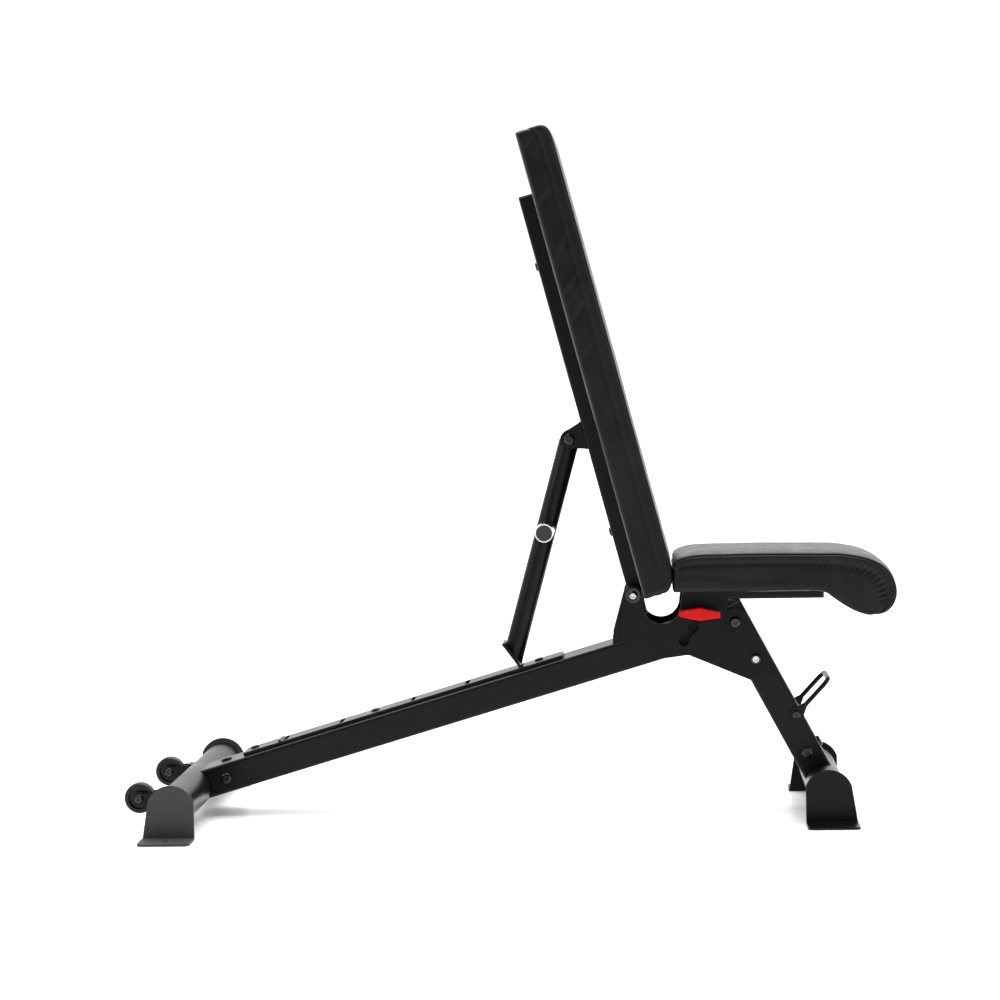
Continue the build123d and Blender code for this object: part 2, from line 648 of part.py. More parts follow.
parts["backrest_pad"] = backrest_pad()
back_screws = []
for u in BACK_BOLTS:
    spot = BACK.from_local_coords((u, tube_rear, 0))
    back_screws.append(dome_bolt(spot, tuple(-BACK.y_dir), SCREW_D, BACK_TUBE_D + BOARD_T - 2))
for screw in back_screws:
    back_tube = back_tube - screw
    back_board = back_board - screw
parts["backrest_bolts"] = group(back_screws)
parts["backrest_board"] = single(back_board)
parts["backrest_tube"] = single(back_tube)
top_end = BACK.from_local_coords((BACK_TUBE_TOP, tube_mid, 0))
parts["backrest_plug"] = end_plug(top_end, tuple(BACK.x_dir), BACK_TUBE_W, BACK_TUBE_D, 3.5,
                                  BACK_TUBE_WALL)

# ---- Clevis on the backrest tube ----------------------------------------------------

def clevis():
    """A U bracket: a base on the tube's rear face and two ears round the strut's top."""
    outer = CLEVIS_Y + CLEVIS_T
    base_top = tube_rear + CLEVIS_T
    base = outline([(CLEVIS_U - 24.0, tube_rear), (CLEVIS_U + 24.0, tube_rear),
                    (CLEVIS_U + 24.0, base_top), (CLEVIS_U - 24.0, base_top)])
    solid = slab(BACK, base, -outer, outer)
    arm = outline([(CLEVIS_U - 24.0, tube_rear), (CLEVIS_U + 24.0, tube_rear),
                   (CLEVIS_U + CLEVIS_R, CLEVIS_BACK), (CLEVIS_U - CLEVIS_R, CLEVIS_BACK)])
    ear = arm + Pos(CLEVIS_U, CLEVIS_BACK) * Circle(CLEVIS_R)
    for low in (-outer, CLEVIS_Y):
        solid = solid + slab(BACK, ear, low, low + CLEVIS_T)
    return single(solid - disc(BACK, CLEVIS_U, CLEVIS_BACK, BOLT_D / 2, -outer, outer))


parts["strut_clevis"] = clevis()
clevis_outer = CLEVIS_Y + CLEVIS_T
hinge = BACK.from_local_coords((CLEVIS_U, CLEVIS_BACK, 0))
parts["clevis_bolt"] = dome_bolt((hinge.X, -clevis_outer, hinge.Z), (0, 1, 0), BOLT_D,
                                 2 * clevis_outer + 9.0)
parts["clevis_nut"] = hex_nut((hinge.X, clevis_outer, hinge.Z), (0, 1, 0), BOLT_D)

# ---- Strut --------------------------------------------------------------------------

top_bush_r = 10.0
top_half = CLEVIS_Y - RUNNING_GAP
top_bush = ring(STRUT, 0, 0, top_bush_r, BOLT_D / 2 + RUNNING_GAP, -top_half, top_half)
bar_core = disc(STRUT, BAR_AT, 0, BAR_D / 2, -BAR_HALF, BAR_HALF)
tube_start = STRUT.from_local_coords((0, 0, 0))
strut_section = Plane(origin=tube_start, x_dir=(0, 1, 0), z_dir=STRUT.x_dir)
strut_round = Circle(STRUT_D / 2) - Circle(STRUT_D / 2 - STRUT_WALL)
strut_tube = extrude(strut_section * strut_round, amount=STRUT_LENGTH + 20.0)
foot_spot = side_point(STRUT, STRUT_LENGTH, 0)
FOOT = side_plane(foot_spot[0], AXLE_HEIGHT + foot_spot[1], FOOT_ANGLE)
beyond = slab(FOOT, Pos(0, -80.0) * Rectangle(240.0, 160.0), -STRUT_D, STRUT_D)
above_clevis = slab(STRUT, Pos(-40.0 + 4.0, 0) * Rectangle(80.0, 60.0), -STRUT_D, STRUT_D)
strut_tube = strut_tube - beyond - bar_core - disc(STRUT, 0, 0, top_bush_r, -STRUT_D, STRUT_D)
strut_tube = strut_tube - above_clevis
parts["strut_tube"] = single(strut_tube)
parts["strut_bush"] = single(top_bush)
foot_face = outline([(-FOOT_UP, -STRUT_FOOT_T), (FOOT_DOWN, -STRUT_FOOT_T), (FOOT_DOWN, 0),
                     (-FOOT_UP, 0)], 1.2)
parts["strut_foot"] = single(slab(FOOT, foot_face, -FOOT_W / 2, FOOT_W / 2))
bar = ring(STRUT, BAR_AT, 0, BAR_D / 2, BAR_D / 2 - 2.0, -BAR_HALF, BAR_HALF)
parts["strut_handle_bar"] = single(bar)
plug_cap = disc(STRUT, BAR_AT, 0, BAR_D / 2 - 2.0, -BAR_HALF, -BAR_HALF + 12.0)
plug_rim = disc(STRUT, BAR_AT, 0, BAR_D / 2 - 3.0, -BAR_HALF - 1.5, -BAR_HALF)
bar_plug = single(plug_cap + plug_rim)
parts["handle_plugs"] = group([bar_plug, mirrored(bar_plug)])

# ---- Carry handle -------------------------------------------------------------------

carry_spot = side_point(POST, CARRY_AT, CARRY_FORWARD)
CARRY = side_plane(carry_spot[0], AXLE_HEIGHT + carry_spot[1], CARRY_ANGLE)
lug_in = BEAM_W / 2 + RUNNING_GAP
lug_out = lug_in + LUG_T
rod_y = lug_in + CARRY_ROD / 2 + RUNNING_GAP


def carry_handle():
    """A bent rod with flattened, drilled ends, one each side of the post."""
    reach = CARRY_REACH - CARRY_ROD / 2
    corner = 16.0
    start = LUG_R + 2.0
    places = [(start, -rod_y), (reach, -rod_y), (reach, rod_y), (start, rod_y)]
    points = [CARRY.from_local_coords((s, 0, -y)) for s, y in places]
    path = FilletPolyline(*points, radius=corner)
    section = Plane(origin=path @ 0, z_dir=path % 0) * Circle(CARRY_ROD / 2)
    rod = sweep(section, path=path)
    neck = outline([(0, -LUG_R), (start + 8.0, -CARRY_ROD / 2), (start + 8.0, CARRY_ROD / 2),
                    (0, LUG_R)])
    lug_face = Circle(LUG_R) + neck - Circle(SCREW_D / 2 + RUNNING_GAP)
    lug = slab(CARRY, lug_face, -lug_out, -lug_in)
    return single(rod + lug + mirrored(lug))


parts["carry_handle"] = carry_handle()
carry_point = CARRY.origin
carry_bolts = []
for side in (-1, 1):
    head_at = (carry_point.X, side * (lug_out + RUNNING_GAP), carry_point.Z)
    screw = dome_bolt(head_at, (0, -side, 0), SCREW_D, LUG_T + 2 * RUNNING_GAP + 16.0)
    carry_bolts.append(screw)
    post = post - disc(CARRY, 0, 0, SCREW_D / 2, min(side * 30, side * 60), max(side * 30, side * 60))
parts["carry_handle_bolts"] = group(carry_bolts)

parts["base_rail"] = single(rail)
parts["front_post"] = single(post)
parts["rear_stub"] = single(rear_stub)
parts["front_stub"] = single(front_stub)

# ---- Transport wheels ---------------------------------------------------------------

fork_in = WHEEL_W / 2 + 1.0
fork_out = fork_in + FORK_T


def wheel_bracket(y):
    """A fork behind the rear cross tube: two arms joined by a web that hugs the tube."""
    arm = outline([(-WHEEL_BACK, -9.0), (-20.0, -14.0), (-20.0, 14.0), (-WHEEL_BACK, 9.0)])
    arm = arm + Pos(-WHEEL_BACK, 0) * Circle(11.0)
    solid = slab(REAR, arm, y - fork_out, y - fork_in) + slab(REAR, arm, y + fork_in, y + fork_out)
    web = Pos(-WHEEL_BACK / 2 + 2.0, 0) * Rectangle(12.0, 28.0)
    solid = solid + slab(REAR, web, y - fork_out, y + fork_out)
    solid = solid - rear_core
    solid = solid - disc(REAR, -WHEEL_BACK, 0, WHEEL_D / 2 + 2.0, y - fork_in, y + fork_in)
    return single(solid - disc(REAR, -WHEEL_BACK, 0, SCREW_D / 2, y - fork_out, y + fork_out))


def wheel(y):
    """A moulded wheel with a hub, a web and a tyre with two grooves."""
    half = WHEEL_W / 2
    radius = WHEEL_D / 2
    bore = SCREW_D / 2 + RUNNING_GAP
    hub = 9.0
    rim = radius - 7.0
    profile = outline([(bore, -half), (hub, -half), (hub, -4.0), (rim, -4.0), (rim, -half),
                       (radius - 2.0, -half), (radius, -half + 2.0), (radius, half - 2.0),
                       (radius - 2.0, half), (rim, half), (rim, 4.0), (hub, 4.0), (hub, half),
                       (bore, half)])
    for groove in (-3.5, 3.5):
        profile = profile - Pos(radius, groove) * Rectangle(3.0, 2.0)
    centre = REAR.from_local_coords((-WHEEL_BACK, 0, 0))
    frame = Plane(origin=(centre.X, y, centre.Z), x_dir=(1, 0, 0), z_dir=(0, 0, 1))
    return single(revolve(frame * profile, axis=Axis((centre.X, y, centre.Z), (0, 1, 0))))


wheel_bolts = []
wheel_nuts = []
for name, y in (("right", -WHEEL_Y), ("left", WHEEL_Y)):
    parts["wheel_bracket_" + name] = wheel_bracket(y)
    parts["wheel_" + name] = wheel(y)
    centre = REAR.from_local_coords((-WHEEL_BACK, 0, 0))
    wheel_bolts.append(dome_bolt((centre.X, y - fork_out, centre.Z), (0, 1, 0), SCREW_D,
                                 2 * fork_out + 7.0))
    wheel_nuts.append(hex_nut((centre.X, y + fork_out, centre.Z), (0, 1, 0), SCREW_D))
parts["wheel_bolts"] = group(wheel_bolts)
parts["wheel_nuts"] = group(wheel_nuts)

# ---- Output -------------------------------------------------------------------------

os.makedirs("parts", exist_ok=True)
for name, shape in parts.items():
    export_step(shape, f"parts/{name}.step")
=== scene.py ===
import json
import math

import bmesh
import bpy
import numpy as np
from mathutils import Matrix, Vector


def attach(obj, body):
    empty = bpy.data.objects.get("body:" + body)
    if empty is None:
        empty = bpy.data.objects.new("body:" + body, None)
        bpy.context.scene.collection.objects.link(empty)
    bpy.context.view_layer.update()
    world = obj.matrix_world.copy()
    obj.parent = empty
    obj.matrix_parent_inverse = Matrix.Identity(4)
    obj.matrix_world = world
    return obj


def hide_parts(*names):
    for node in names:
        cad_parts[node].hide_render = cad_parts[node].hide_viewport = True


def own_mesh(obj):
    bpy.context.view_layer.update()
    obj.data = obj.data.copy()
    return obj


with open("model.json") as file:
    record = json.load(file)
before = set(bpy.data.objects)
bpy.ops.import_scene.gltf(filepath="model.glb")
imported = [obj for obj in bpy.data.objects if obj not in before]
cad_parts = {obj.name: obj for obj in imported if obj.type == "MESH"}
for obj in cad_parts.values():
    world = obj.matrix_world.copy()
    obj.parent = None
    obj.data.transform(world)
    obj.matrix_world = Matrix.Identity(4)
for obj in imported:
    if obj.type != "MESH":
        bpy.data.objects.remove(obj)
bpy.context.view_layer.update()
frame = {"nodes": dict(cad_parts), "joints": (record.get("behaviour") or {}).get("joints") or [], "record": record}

MM = 0.001
scene = bpy.context.scene
scene.view_settings.view_transform = "Standard"
nodes = frame["nodes"]
joint_at = {j["name"]: Vector(j["pos_m"]) for j in frame["joints"] if "pos_m" in j}
AXLE = joint_at["backrest_hinge"]

# ---- Camera, level with the middle of the strut and a little below the backrest's top ----

CAMERA_OFFSET = Vector((0.020, -4.400, 0.403))
CAMERA_YAW, CAMERA_PITCH, CAMERA_ROLL = (math.radians(a) for a in (-3.207, -3.133, -1.0275))
LENS, SENSOR = 92.16, 36.0

ahead = Vector((math.sin(CAMERA_YAW) * math.cos(CAMERA_PITCH),
                math.cos(CAMERA_YAW) * math.cos(CAMERA_PITCH), math.sin(CAMERA_PITCH)))
level = Vector((math.cos(CAMERA_YAW), -math.sin(CAMERA_YAW), 0.0))
upward = level.cross(ahead)
cam_right = level * math.cos(CAMERA_ROLL) + upward * math.sin(CAMERA_ROLL)
cam_up = upward * math.cos(CAMERA_ROLL) - level * math.sin(CAMERA_ROLL)
camera = bpy.data.objects.new("camera", bpy.data.cameras.new("camera"))
camera.data.lens = LENS
camera.data.sensor_width = SENSOR
camera.data.clip_end = 200.0
turn = Matrix((cam_right, cam_up, -ahead)).transposed().to_4x4()
camera.matrix_world = Matrix.Translation(AXLE + CAMERA_OFFSET) @ turn
scene.collection.objects.link(camera)
scene.camera = camera

# ---- Floor, surroundings and lights ------------------------------------------------------


def graph(material):
    """The node tree of a material or world, emptied, with its output."""
    material.use_nodes = True
    tree = material.node_tree
    tree.nodes.clear()
    return tree


def add(tree, kind, **values):
    """A shader node, with its inputs set or linked by name or number, and its properties by name."""
    node = tree.nodes.new("ShaderNode" + kind)
    for key, value in values.items():
        if key.startswith("in_"):
            key = key[3:]
            socket = node.inputs[int(key)] if key.isdigit() else node.inputs[key.replace("_", " ")]
            if isinstance(value, bpy.types.NodeSocket):
                tree.links.new(value, socket)
            else:
                socket.default_value = value
        else:
            setattr(node, key, value)
    return node


def ramp(tree, fac, stops):
    """A colour ramp from (position, grey or colour) stops."""
    node = add(tree, "ValToRGB", in_Fac=fac)
    bar = node.color_ramp
    while len(bar.elements) < len(stops):
        bar.elements.new(0.5)
    for element, (at, colour) in zip(bar.elements, stops):
        element.position = at
        if isinstance(colour, (int, float)):
            colour = (colour,) * 3
        element.color = (*colour, 1.0)
    return node.outputs["Color"]


def make_world():
    """White all round for the camera; for the lights, bright above and behind, dim in front."""
    world = bpy.data.worlds.new("studio")
    scene.world = world
    tree = graph(world)
    place = add(tree, "TexCoord")
    split = add(tree, "SeparateXYZ", in_0=place.outputs["Generated"])
    depth = add(tree, "MapRange", in_0=split.outputs["Y"], in_1=-0.75, in_2=0.7, in_3=0.04, in_4=1.8)
    height = add(tree, "MapRange", in_0=split.outputs["Z"], in_1=-0.1, in_2=0.75, in_3=0.55,
                 in_4=1.3)
    both = add(tree, "Math", operation="MULTIPLY", in_0=depth.outputs[0], in_1=height.outputs[0])
    path = add(tree, "LightPath")
    lit = add(tree, "Background", in_Color=(1.0, 1.0, 1.0, 1.0), in_Strength=both.outputs[0])
    seen = add(tree, "Background", in_Color=(1.0, 1.0, 1.0, 1.0), in_Strength=1.1)
    mix = add(tree, "MixShader", in_Fac=path.outputs["Is Camera Ray"], in_1=lit.outputs[0],
              in_2=seen.outputs[0])
    add(tree, "OutputWorld", in_Surface=mix.outputs[0])


def softbox(name, place, target, width, height, watts):
    """A rectangular area light that faces a point."""
    light = bpy.data.lights.new(name, "AREA")
    light.shape = "RECTANGLE"
    light.size = width
    light.size_y = height
    light.energy = watts
    obj = bpy.data.objects.new(name, light)
    scene.collection.objects.link(obj)
    obj.location = place
    obj.rotation_euler = (Vector(target) - Vector(place)).to_track_quat("-Z", "Y").to_euler()
    obj.visible_camera = False


def make_floor():
    size = 60.0
    mesh = bpy.data.meshes.new("floor")
    corners = [(-size, -size, 0), (size, -size, 0), (size, size, 0), (-size, size, 0)]
    mesh.from_pydata(corners, [], [(0, 1, 2, 3)])
    floor = bpy.data.objects.new("floor", mesh)
    scene.collection.objects.link(floor)
    material = bpy.data.materials.new("floor")
    tree = graph(material)
    place = add(tree, "TexCoord")
    away = add(tree, "VectorMath", operation="LENGTH", in_0=place.outputs["Object"])
    glow = add(tree, "MapRange", in_0=away.outputs["Value"], in_1=1.2, in_2=4.0, in_3=0.10,
               in_4=0.75)
    surface = add(tree, "BsdfPrincipled", in_Base_Color=(0.90, 0.90, 0.90, 1.0),
                  in_Roughness=0.32, in_Emission_Color=(1.0, 1.0, 1.0, 1.0),
                  in_Emission_Strength=glow.outputs[0])
    add(tree, "OutputMaterial", in_Surface=surface.outputs[0])
    mesh.materials.append(material)


make_world()
make_floor()
MIDDLE = (0.15, 0.0, 0.45)
softbox("top_light", (0.15, 0.25, 3.3), MIDDLE, 3.2, 2.6, 150.0)
softbox("left_light", (-2.7, -1.5, 1.9), MIDDLE, 0.7, 1.6, 34.0)
softbox("right_light", (3.1, -1.4, 1.9), MIDDLE, 0.7, 1.6, 30.0)

# ---- Materials ---------------------------------------------------------------------------

EDGE_RADIUS = 0.0012


def new_material(name, colour, roughness, metallic=0.0, specular=0.5, coat=0.0):
    """A Principled material on object coordinates; the caller adds its texture nodes."""
    material = bpy.data.materials.new(name)
    tree = graph(material)
    surface = add(tree, "BsdfPrincipled", in_Metallic=metallic, in_Roughness=roughness,
                  in_Specular_IOR_Level=specular, in_Coat_Weight=coat)
    surface.inputs["Base Color"].default_value = (*colour, 1.0)
    add(tree, "OutputMaterial", in_Surface=surface.outputs[0])
    place = add(tree, "TexCoord").outputs["Object"]
    return material, tree, surface, place


def noise(tree, place, scale, detail=3.0, roughness=0.55):
    return add(tree, "TexNoise", in_Vector=place, in_Scale=scale, in_Detail=detail,
               in_Roughness=roughness).outputs["Fac"]


def vary(tree, surface, fac, socket, low, high):
    """Drives a socket between two values by a texture."""
    spread = add(tree, "MapRange", in_0=fac, in_1=0.3, in_2=0.7, in_3=low, in_4=high)
    tree.links.new(spread.outputs[0], surface.inputs[socket])


def tint(tree, surface, fac, dark, light):
    tree.links.new(ramp(tree, fac, [(0.3, dark), (0.7, light)]), surface.inputs["Base Color"])


def bump(tree, surface, layers):
    """Stacked bumps from (height, distance in metres, strength) layers, on softened edges."""
    normal = add(tree, "Bevel", samples=4, in_Radius=EDGE_RADIUS).outputs[0]
    for height, distance, strength in layers:
        node = add(tree, "Bump", in_Height=height, in_Distance=distance, in_Strength=strength,
                   in_Normal=normal)
        normal = node.outputs["Normal"]
    tree.links.new(normal, surface.inputs["Normal"])


def powder_coat(name, dark, light, rough_low, rough_high):
    """Matt black powder coat: a fine sandy texture with slow changes of tone and gloss."""
    material, tree, surface, place = new_material(name, light, 0.5, specular=0.16)
    slow = noise(tree, place, 9.0, 2.0)
    sand = noise(tree, place, 1500.0, 2.0, 0.7)
    peel = noise(tree, place, 420.0, 2.0)
    tint(tree, surface, sand, dark, light)
    vary(tree, surface, slow, "Roughness", rough_low, rough_high)
    bump(tree, surface, [(peel, 0.00025, 0.35), (sand, 0.00012, 0.6)])
    return material


def vinyl():
    """Black upholstery vinyl: pebbled leather grain, faint creases and uneven gloss."""
    material, tree, surface, place = new_material("upholstery_vinyl", (0.016, 0.016, 0.017), 0.4,
                                                  specular=0.15)
    cells = add(tree, "TexVoronoi", feature="DISTANCE_TO_EDGE", in_Vector=place, in_Scale=620.0)
    grain = add(tree, "MapRange", in_0=cells.outputs["Distance"], in_1=0.0, in_2=0.22)
    pores = noise(tree, place, 2400.0, 2.0)
    folds = noise(tree, place, 38.0, 3.0)
    slow = noise(tree, place, 14.0, 2.0)
    tint(tree, surface, slow, (0.0055, 0.0055, 0.0057), (0.0095, 0.0094, 0.0094))
    vary(tree, surface, folds, "Roughness", 0.28, 0.40)
    bump(tree, surface, [(folds, 0.0016, 0.22), (grain.outputs[0], 0.00022, 0.34),
                         (pores, 0.00008, 0.25)])
    return material


def dust_cover():
    """Black woven cloth over the boards' undersides."""
    material, tree, surface, place = new_material("board_cover", (0.02, 0.02, 0.02), 0.85)
    over = add(tree, "TexWave", bands_direction="Y", in_Vector=place, in_Scale=260.0,
               in_Distortion=0.6, in_Detail=1.0)
    under = add(tree, "TexWave", bands_direction="Z", in_Vector=place, in_Scale=260.0,
                in_Distortion=0.6, in_Detail=1.0)
    weave = add(tree, "Math", operation="MULTIPLY", in_0=over.outputs["Fac"],
                in_1=under.outputs["Fac"])
    tint(tree, surface, weave.outputs[0], (0.012, 0.012, 0.012), (0.035, 0.034, 0.033))
    bump(tree, surface, [(weave.outputs[0], 0.0004, 0.7)])
    return material


def plain_metal(name, colour, roughness, scratch, specular=0.5):
    """Plated or oxidised metal with faint turning marks and spots of wear."""
    material, tree, surface, place = new_material(name, colour, roughness, 1.0, specular)
    marks = noise(tree, place, 900.0, 2.0)
    spots = noise(tree, place, 120.0, 4.0)
    vary(tree, surface, spots, "Roughness", roughness * 0.75, roughness * 1.35)
    tint(tree, surface, spots, tuple(c * 0.82 for c in colour), colour)
    bump(tree, surface, [(marks, 0.00006, scratch)])
    return material


def moulded(name, dark, light, roughness, scale, depth, specular=0.5):
    """Moulded plastic with the fine etched texture of its mould."""
    material, tree, surface, place = new_material(name, light, roughness, 0.0, specular)
    etch = noise(tree, place, scale, 2.0)
    slow = noise(tree, place, 30.0, 2.0)
    tint(tree, surface, slow, dark, light)
    vary(tree, surface, slow, "Roughness", roughness * 0.88, roughness * 1.12)
    bump(tree, surface, [(etch, 0.0001, depth)])
    return material


def bright_end(name, x, z, radius):
    """Black bolts with bare metal round one axis, which is given from the main axle in mm."""
    material, tree, surface, place = new_material(name, (0.045, 0.045, 0.048), 0.2, 1.0)
    split = add(tree, "SeparateXYZ", in_0=place)
    across = add(tree, "Math", operation="SUBTRACT", in_0=split.outputs["X"],
                 in_1=AXLE.x + x * MM)
    above = add(tree, "Math", operation="SUBTRACT", in_0=split.outputs["Z"],
                in_1=AXLE.z + z * MM)
    flat = add(tree, "CombineXYZ", in_0=across.outputs[0], in_2=above.outputs[0])
    away = add(tree, "VectorMath", operation="LENGTH", in_0=flat.outputs[0])
    inside = add(tree, "Math", operation="LESS_THAN", in_0=away.outputs["Value"],
                 in_1=radius * MM)
    tint(tree, surface, inside.outputs[0], (0.045, 0.045, 0.048), (0.55, 0.55, 0.55))
    bump(tree, surface, [(noise(tree, place, 500.0), 0.0001, 0.3)])
    return material


PAINT = powder_coat("black_paint", (0.0018, 0.0018, 0.0019), (0.0055, 0.0055, 0.0058), 0.27, 0.36)
PLATE_PAINT = powder_coat("black_paint_plate", (0.0018, 0.0018, 0.0019), (0.005, 0.005, 0.0053),
                          0.42, 0.52)
# A lighter copy of the black paint for the rear foot plates: painted light, standing in for the low light from the
# left front that brightens them.
LIT_REAR_FOOT_PAINT = powder_coat("black_paint_lit_rear_feet", (0.026, 0.026, 0.0264), (0.072, 0.072, 0.073),
                         0.42, 0.52)
VINYL = vinyl()
COVER = dust_cover()
RED = moulded("red_plastic", (0.52, 0.005, 0.004), (0.62, 0.007, 0.005), 0.42, 1600.0, 0.25,
              0.15)
CHROME = plain_metal("chrome_plate", (0.86, 0.86, 0.87), 0.09, 0.03)
ZINC = plain_metal("zinc_plate", (0.74, 0.74, 0.75), 0.24, 0.2)
OXIDE = plain_metal("black_oxide", (0.045, 0.045, 0.048), 0.17, 0.1)
PLASTIC = moulded("black_plastic", (0.010, 0.010, 0.010), (0.017, 0.017, 0.017), 0.55, 900.0, 0.5)
BUSH = moulded("bush_plastic", (0.02, 0.02, 0.02), (0.03, 0.03, 0.03), 0.5, 900.0, 0.4)
WHEEL = moulded("wheel_plastic", (0.004, 0.004, 0.004), (0.008, 0.008, 0.008), 0.36, 700.0, 0.35,
                0.3)

FINISH = {
    "black_paint": PAINT, "upholstery": VINYL, "board": COVER, "red_grip": RED,
    "chrome": CHROME, "plastic": PLASTIC, "bush_plastic": BUSH, "wheel": WHEEL,
    "zinc_steel": ZINC, "black_screws": OXIDE,
}


def set_material(obj, material):
    obj.data.materials.clear()
    obj.data.materials.append(material)
    for face in obj.data.polygons:
        face.material_index = 0


for part in frame["record"]["subparts"]:
    set_material(nodes[part["node"]], FINISH[part["material_slot"]])
for name in ("gusset_right", "gusset_left", "seat_plate_right", "seat_plate_left"):
    set_material(nodes[name], PLATE_PAINT)
# The rear foot plates take the lighter copy of the paint, which is painted light rather than wear.
for name in ("foot_plate_rear_right", "foot_plate_rear_left"):
    set_material(nodes[name], LIT_REAR_FOOT_PAINT)

BRIGHT_RADIUS = 5.4
POST_BOLT = (206.8, -112.5)
set_material(nodes["main_axle"], bright_end("axle_finish", 0.0, 0.0, BRIGHT_RADIUS))
set_material(nodes["frame_bolts"], bright_end("bolt_finish", *POST_BOLT, BRIGHT_RADIUS))

# ---- Cushions ------------------------------------------------------------------------------

BAND = 21.0
RIM = 17.0
GROOVE_DEPTH = 2.2
GROOVE_WIDTH = 2.0
CORNER = 20.0
TOP_EDGE, LOW_EDGE = 6.0, 7.0
ON_FACE = 0.01
CROWN_RUN = 80.0
BAND_SWELL, SIDE_SWELL = 2.2, 1.4
TUCK = 5.0
FULL_DEPTH = 25.0
VALLEY_DEPTH, VALLEY_WIDTH = 1.1, 3.2
PUCKER_WIDTH = 6.5
UNEVENNESS = 0.32


def spaced(length, step, edges):
    """Positions from 0 to length: close together at both ends, step apart between them."""
    low = [e for e in edges if e < length / 2]
    count = max(2, round((length - 2 * low[-1]) / step))
    middle = list(np.linspace(low[-1], length - low[-1], count + 1))
    return np.array(low[:-1] + middle + [length - e for e in reversed(low[:-1])])


def curve_through(knots, samples=24):
    """A dense Catmull-Rom curve through the knots."""
    k = np.array(knots, float)
    k = np.vstack([2 * k[0] - k[1], k, 2 * k[-1] - k[-2]])
    rows = []
    for i in range(1, len(k) - 2):
        a, b, c, d = k[i - 1], k[i], k[i + 1], k[i + 2]
        for t in np.arange(samples) / samples:
            rows.append(0.5 * (2 * b + (c - a) * t + (2 * a - 5 * b + 4 * c - d) * t ** 2
                               + (3 * b - a - 3 * c + d) * t ** 3))
    rows.append(k[-2])
    return np.array(rows)


class Cushion:
    """A padded block. Its own coordinates, in millimetres, are u along it, v across it and w from
    its underside to its seam. The seam path and the underside path give its side view."""

    def __init__(self, seam_knots, under_knots, width, to_world):
        self.seam = curve_through(seam_knots)
        self.under = curve_through(under_knots)
        steps = np.linalg.norm(np.diff(self.seam, axis=0), axis=1)
        self.along = np.concatenate([[0.0], np.cumsum(steps)])
        self.length = self.along[-1]
        self.width = width
        self.height = np.linalg.norm(self.seam - self.under, axis=1)
        tangent = np.gradient(self.seam, axis=0)
        tangent /= np.linalg.norm(tangent, axis=1)[:, None]
        self.normal = np.stack([-tangent[:, 1], tangent[:, 0]], axis=1)
        self.tangent = tangent
        self.to_world = to_world

    def at(self, table, u):
        u = np.clip(u, 0.0, self.length)
        if table.ndim == 1:
            return np.interp(u, self.along, table)
        return np.stack([np.interp(u, self.along, table[:, i]) for i in range(2)], axis=1)

    def place(self, u, v, w):
        """World positions of points in the cushion's own coordinates."""
        height = self.at(self.height, u)
        low = self.at(self.under, u)
        high = self.at(self.seam, u)
        share = np.minimum(w / height, 1.0)[:, None]
        side = low + (high - low) * share
        side = side + self.at(self.normal, u) * np.maximum(w - height, 0.0)[:, None]
        over = u - np.clip(u, 0.0, self.length)
        side = side + self.at(self.tangent, u) * over[:, None]
        return self.to_world(side, v - self.width / 2)

    def grid(self, along, across, up):
        """The block's six faces as one closed quad mesh: box points and faces."""
        index = {}
        points = []
        faces = []
        n_a, n_b, n_c = len(along) - 1, len(across) - 1, len(up) - 1

        def vertex(i, j, k):
            key = (i, j, k)
            if key not in index:
                index[key] = len(points)
                points.append((along[i], across[j], up[k]))
            return index[key]

        for i in range(n_a):
            for j in range(n_b):
                for k, flip in ((n_c, False), (0, True)):
                    quad = [vertex(i, j, k), vertex(i + 1, j, k), vertex(i + 1, j + 1, k),
                            vertex(i, j + 1, k)]
                    faces.append(quad[::-1] if flip else quad)
            for k in range(n_c):
                for j, flip in ((0, False), (n_b, True)):
                    quad = [vertex(i, j, k), vertex(i + 1, j, k), vertex(i + 1, j, k + 1),
                            vertex(i, j, k + 1)]
                    faces.append(quad[::-1] if flip else quad)
        for j in range(n_b):
            for k in range(n_c):
                for i, flip in ((0, True), (n_a, False)):
                    quad = [vertex(i, j, k), vertex(i, j + 1, k), vertex(i, j + 1, k + 1),
                            vertex(i, j, k + 1)]
                    faces.append(quad[::-1] if flip else quad)
        return np.array(points), faces


def rounded(d1, d2, radius):
    """Moves points near an edge onto a quarter round: new distances from the edge's two faces."""
    p = np.clip((radius - d1) / radius, 0.0, 1.0)
    q = np.clip((radius - d2) / radius, 0.0, 1.0)
    new1 = np.where(p > 0, radius - radius * p * np.sqrt(1 - q ** 2 / 2), d1)
    new2 = np.where(q > 0, radius - radius * q * np.sqrt(1 - p ** 2 / 2), d2)
    return new1, new2


def waves(place, lengths, seed):
    """A smooth, repeatable unevenness from -1 to 1 over world positions."""
    total = np.zeros(len(place))
    for i, length in enumerate(lengths):
        turn = seed * 1.7 + i * 2.1
        axis = np.array([math.cos(turn), math.sin(turn * 1.3), math.sin(turn)])
        other = np.array([math.sin(turn * 0.7), math.cos(turn), -math.cos(turn * 1.9)])
        total += np.sin(place @ axis * 2 * math.pi / length + turn)
        total += np.sin(place @ other * 2 * math.pi / (length * 0.77) + 2 * turn)
    return total / (2 * len(lengths))


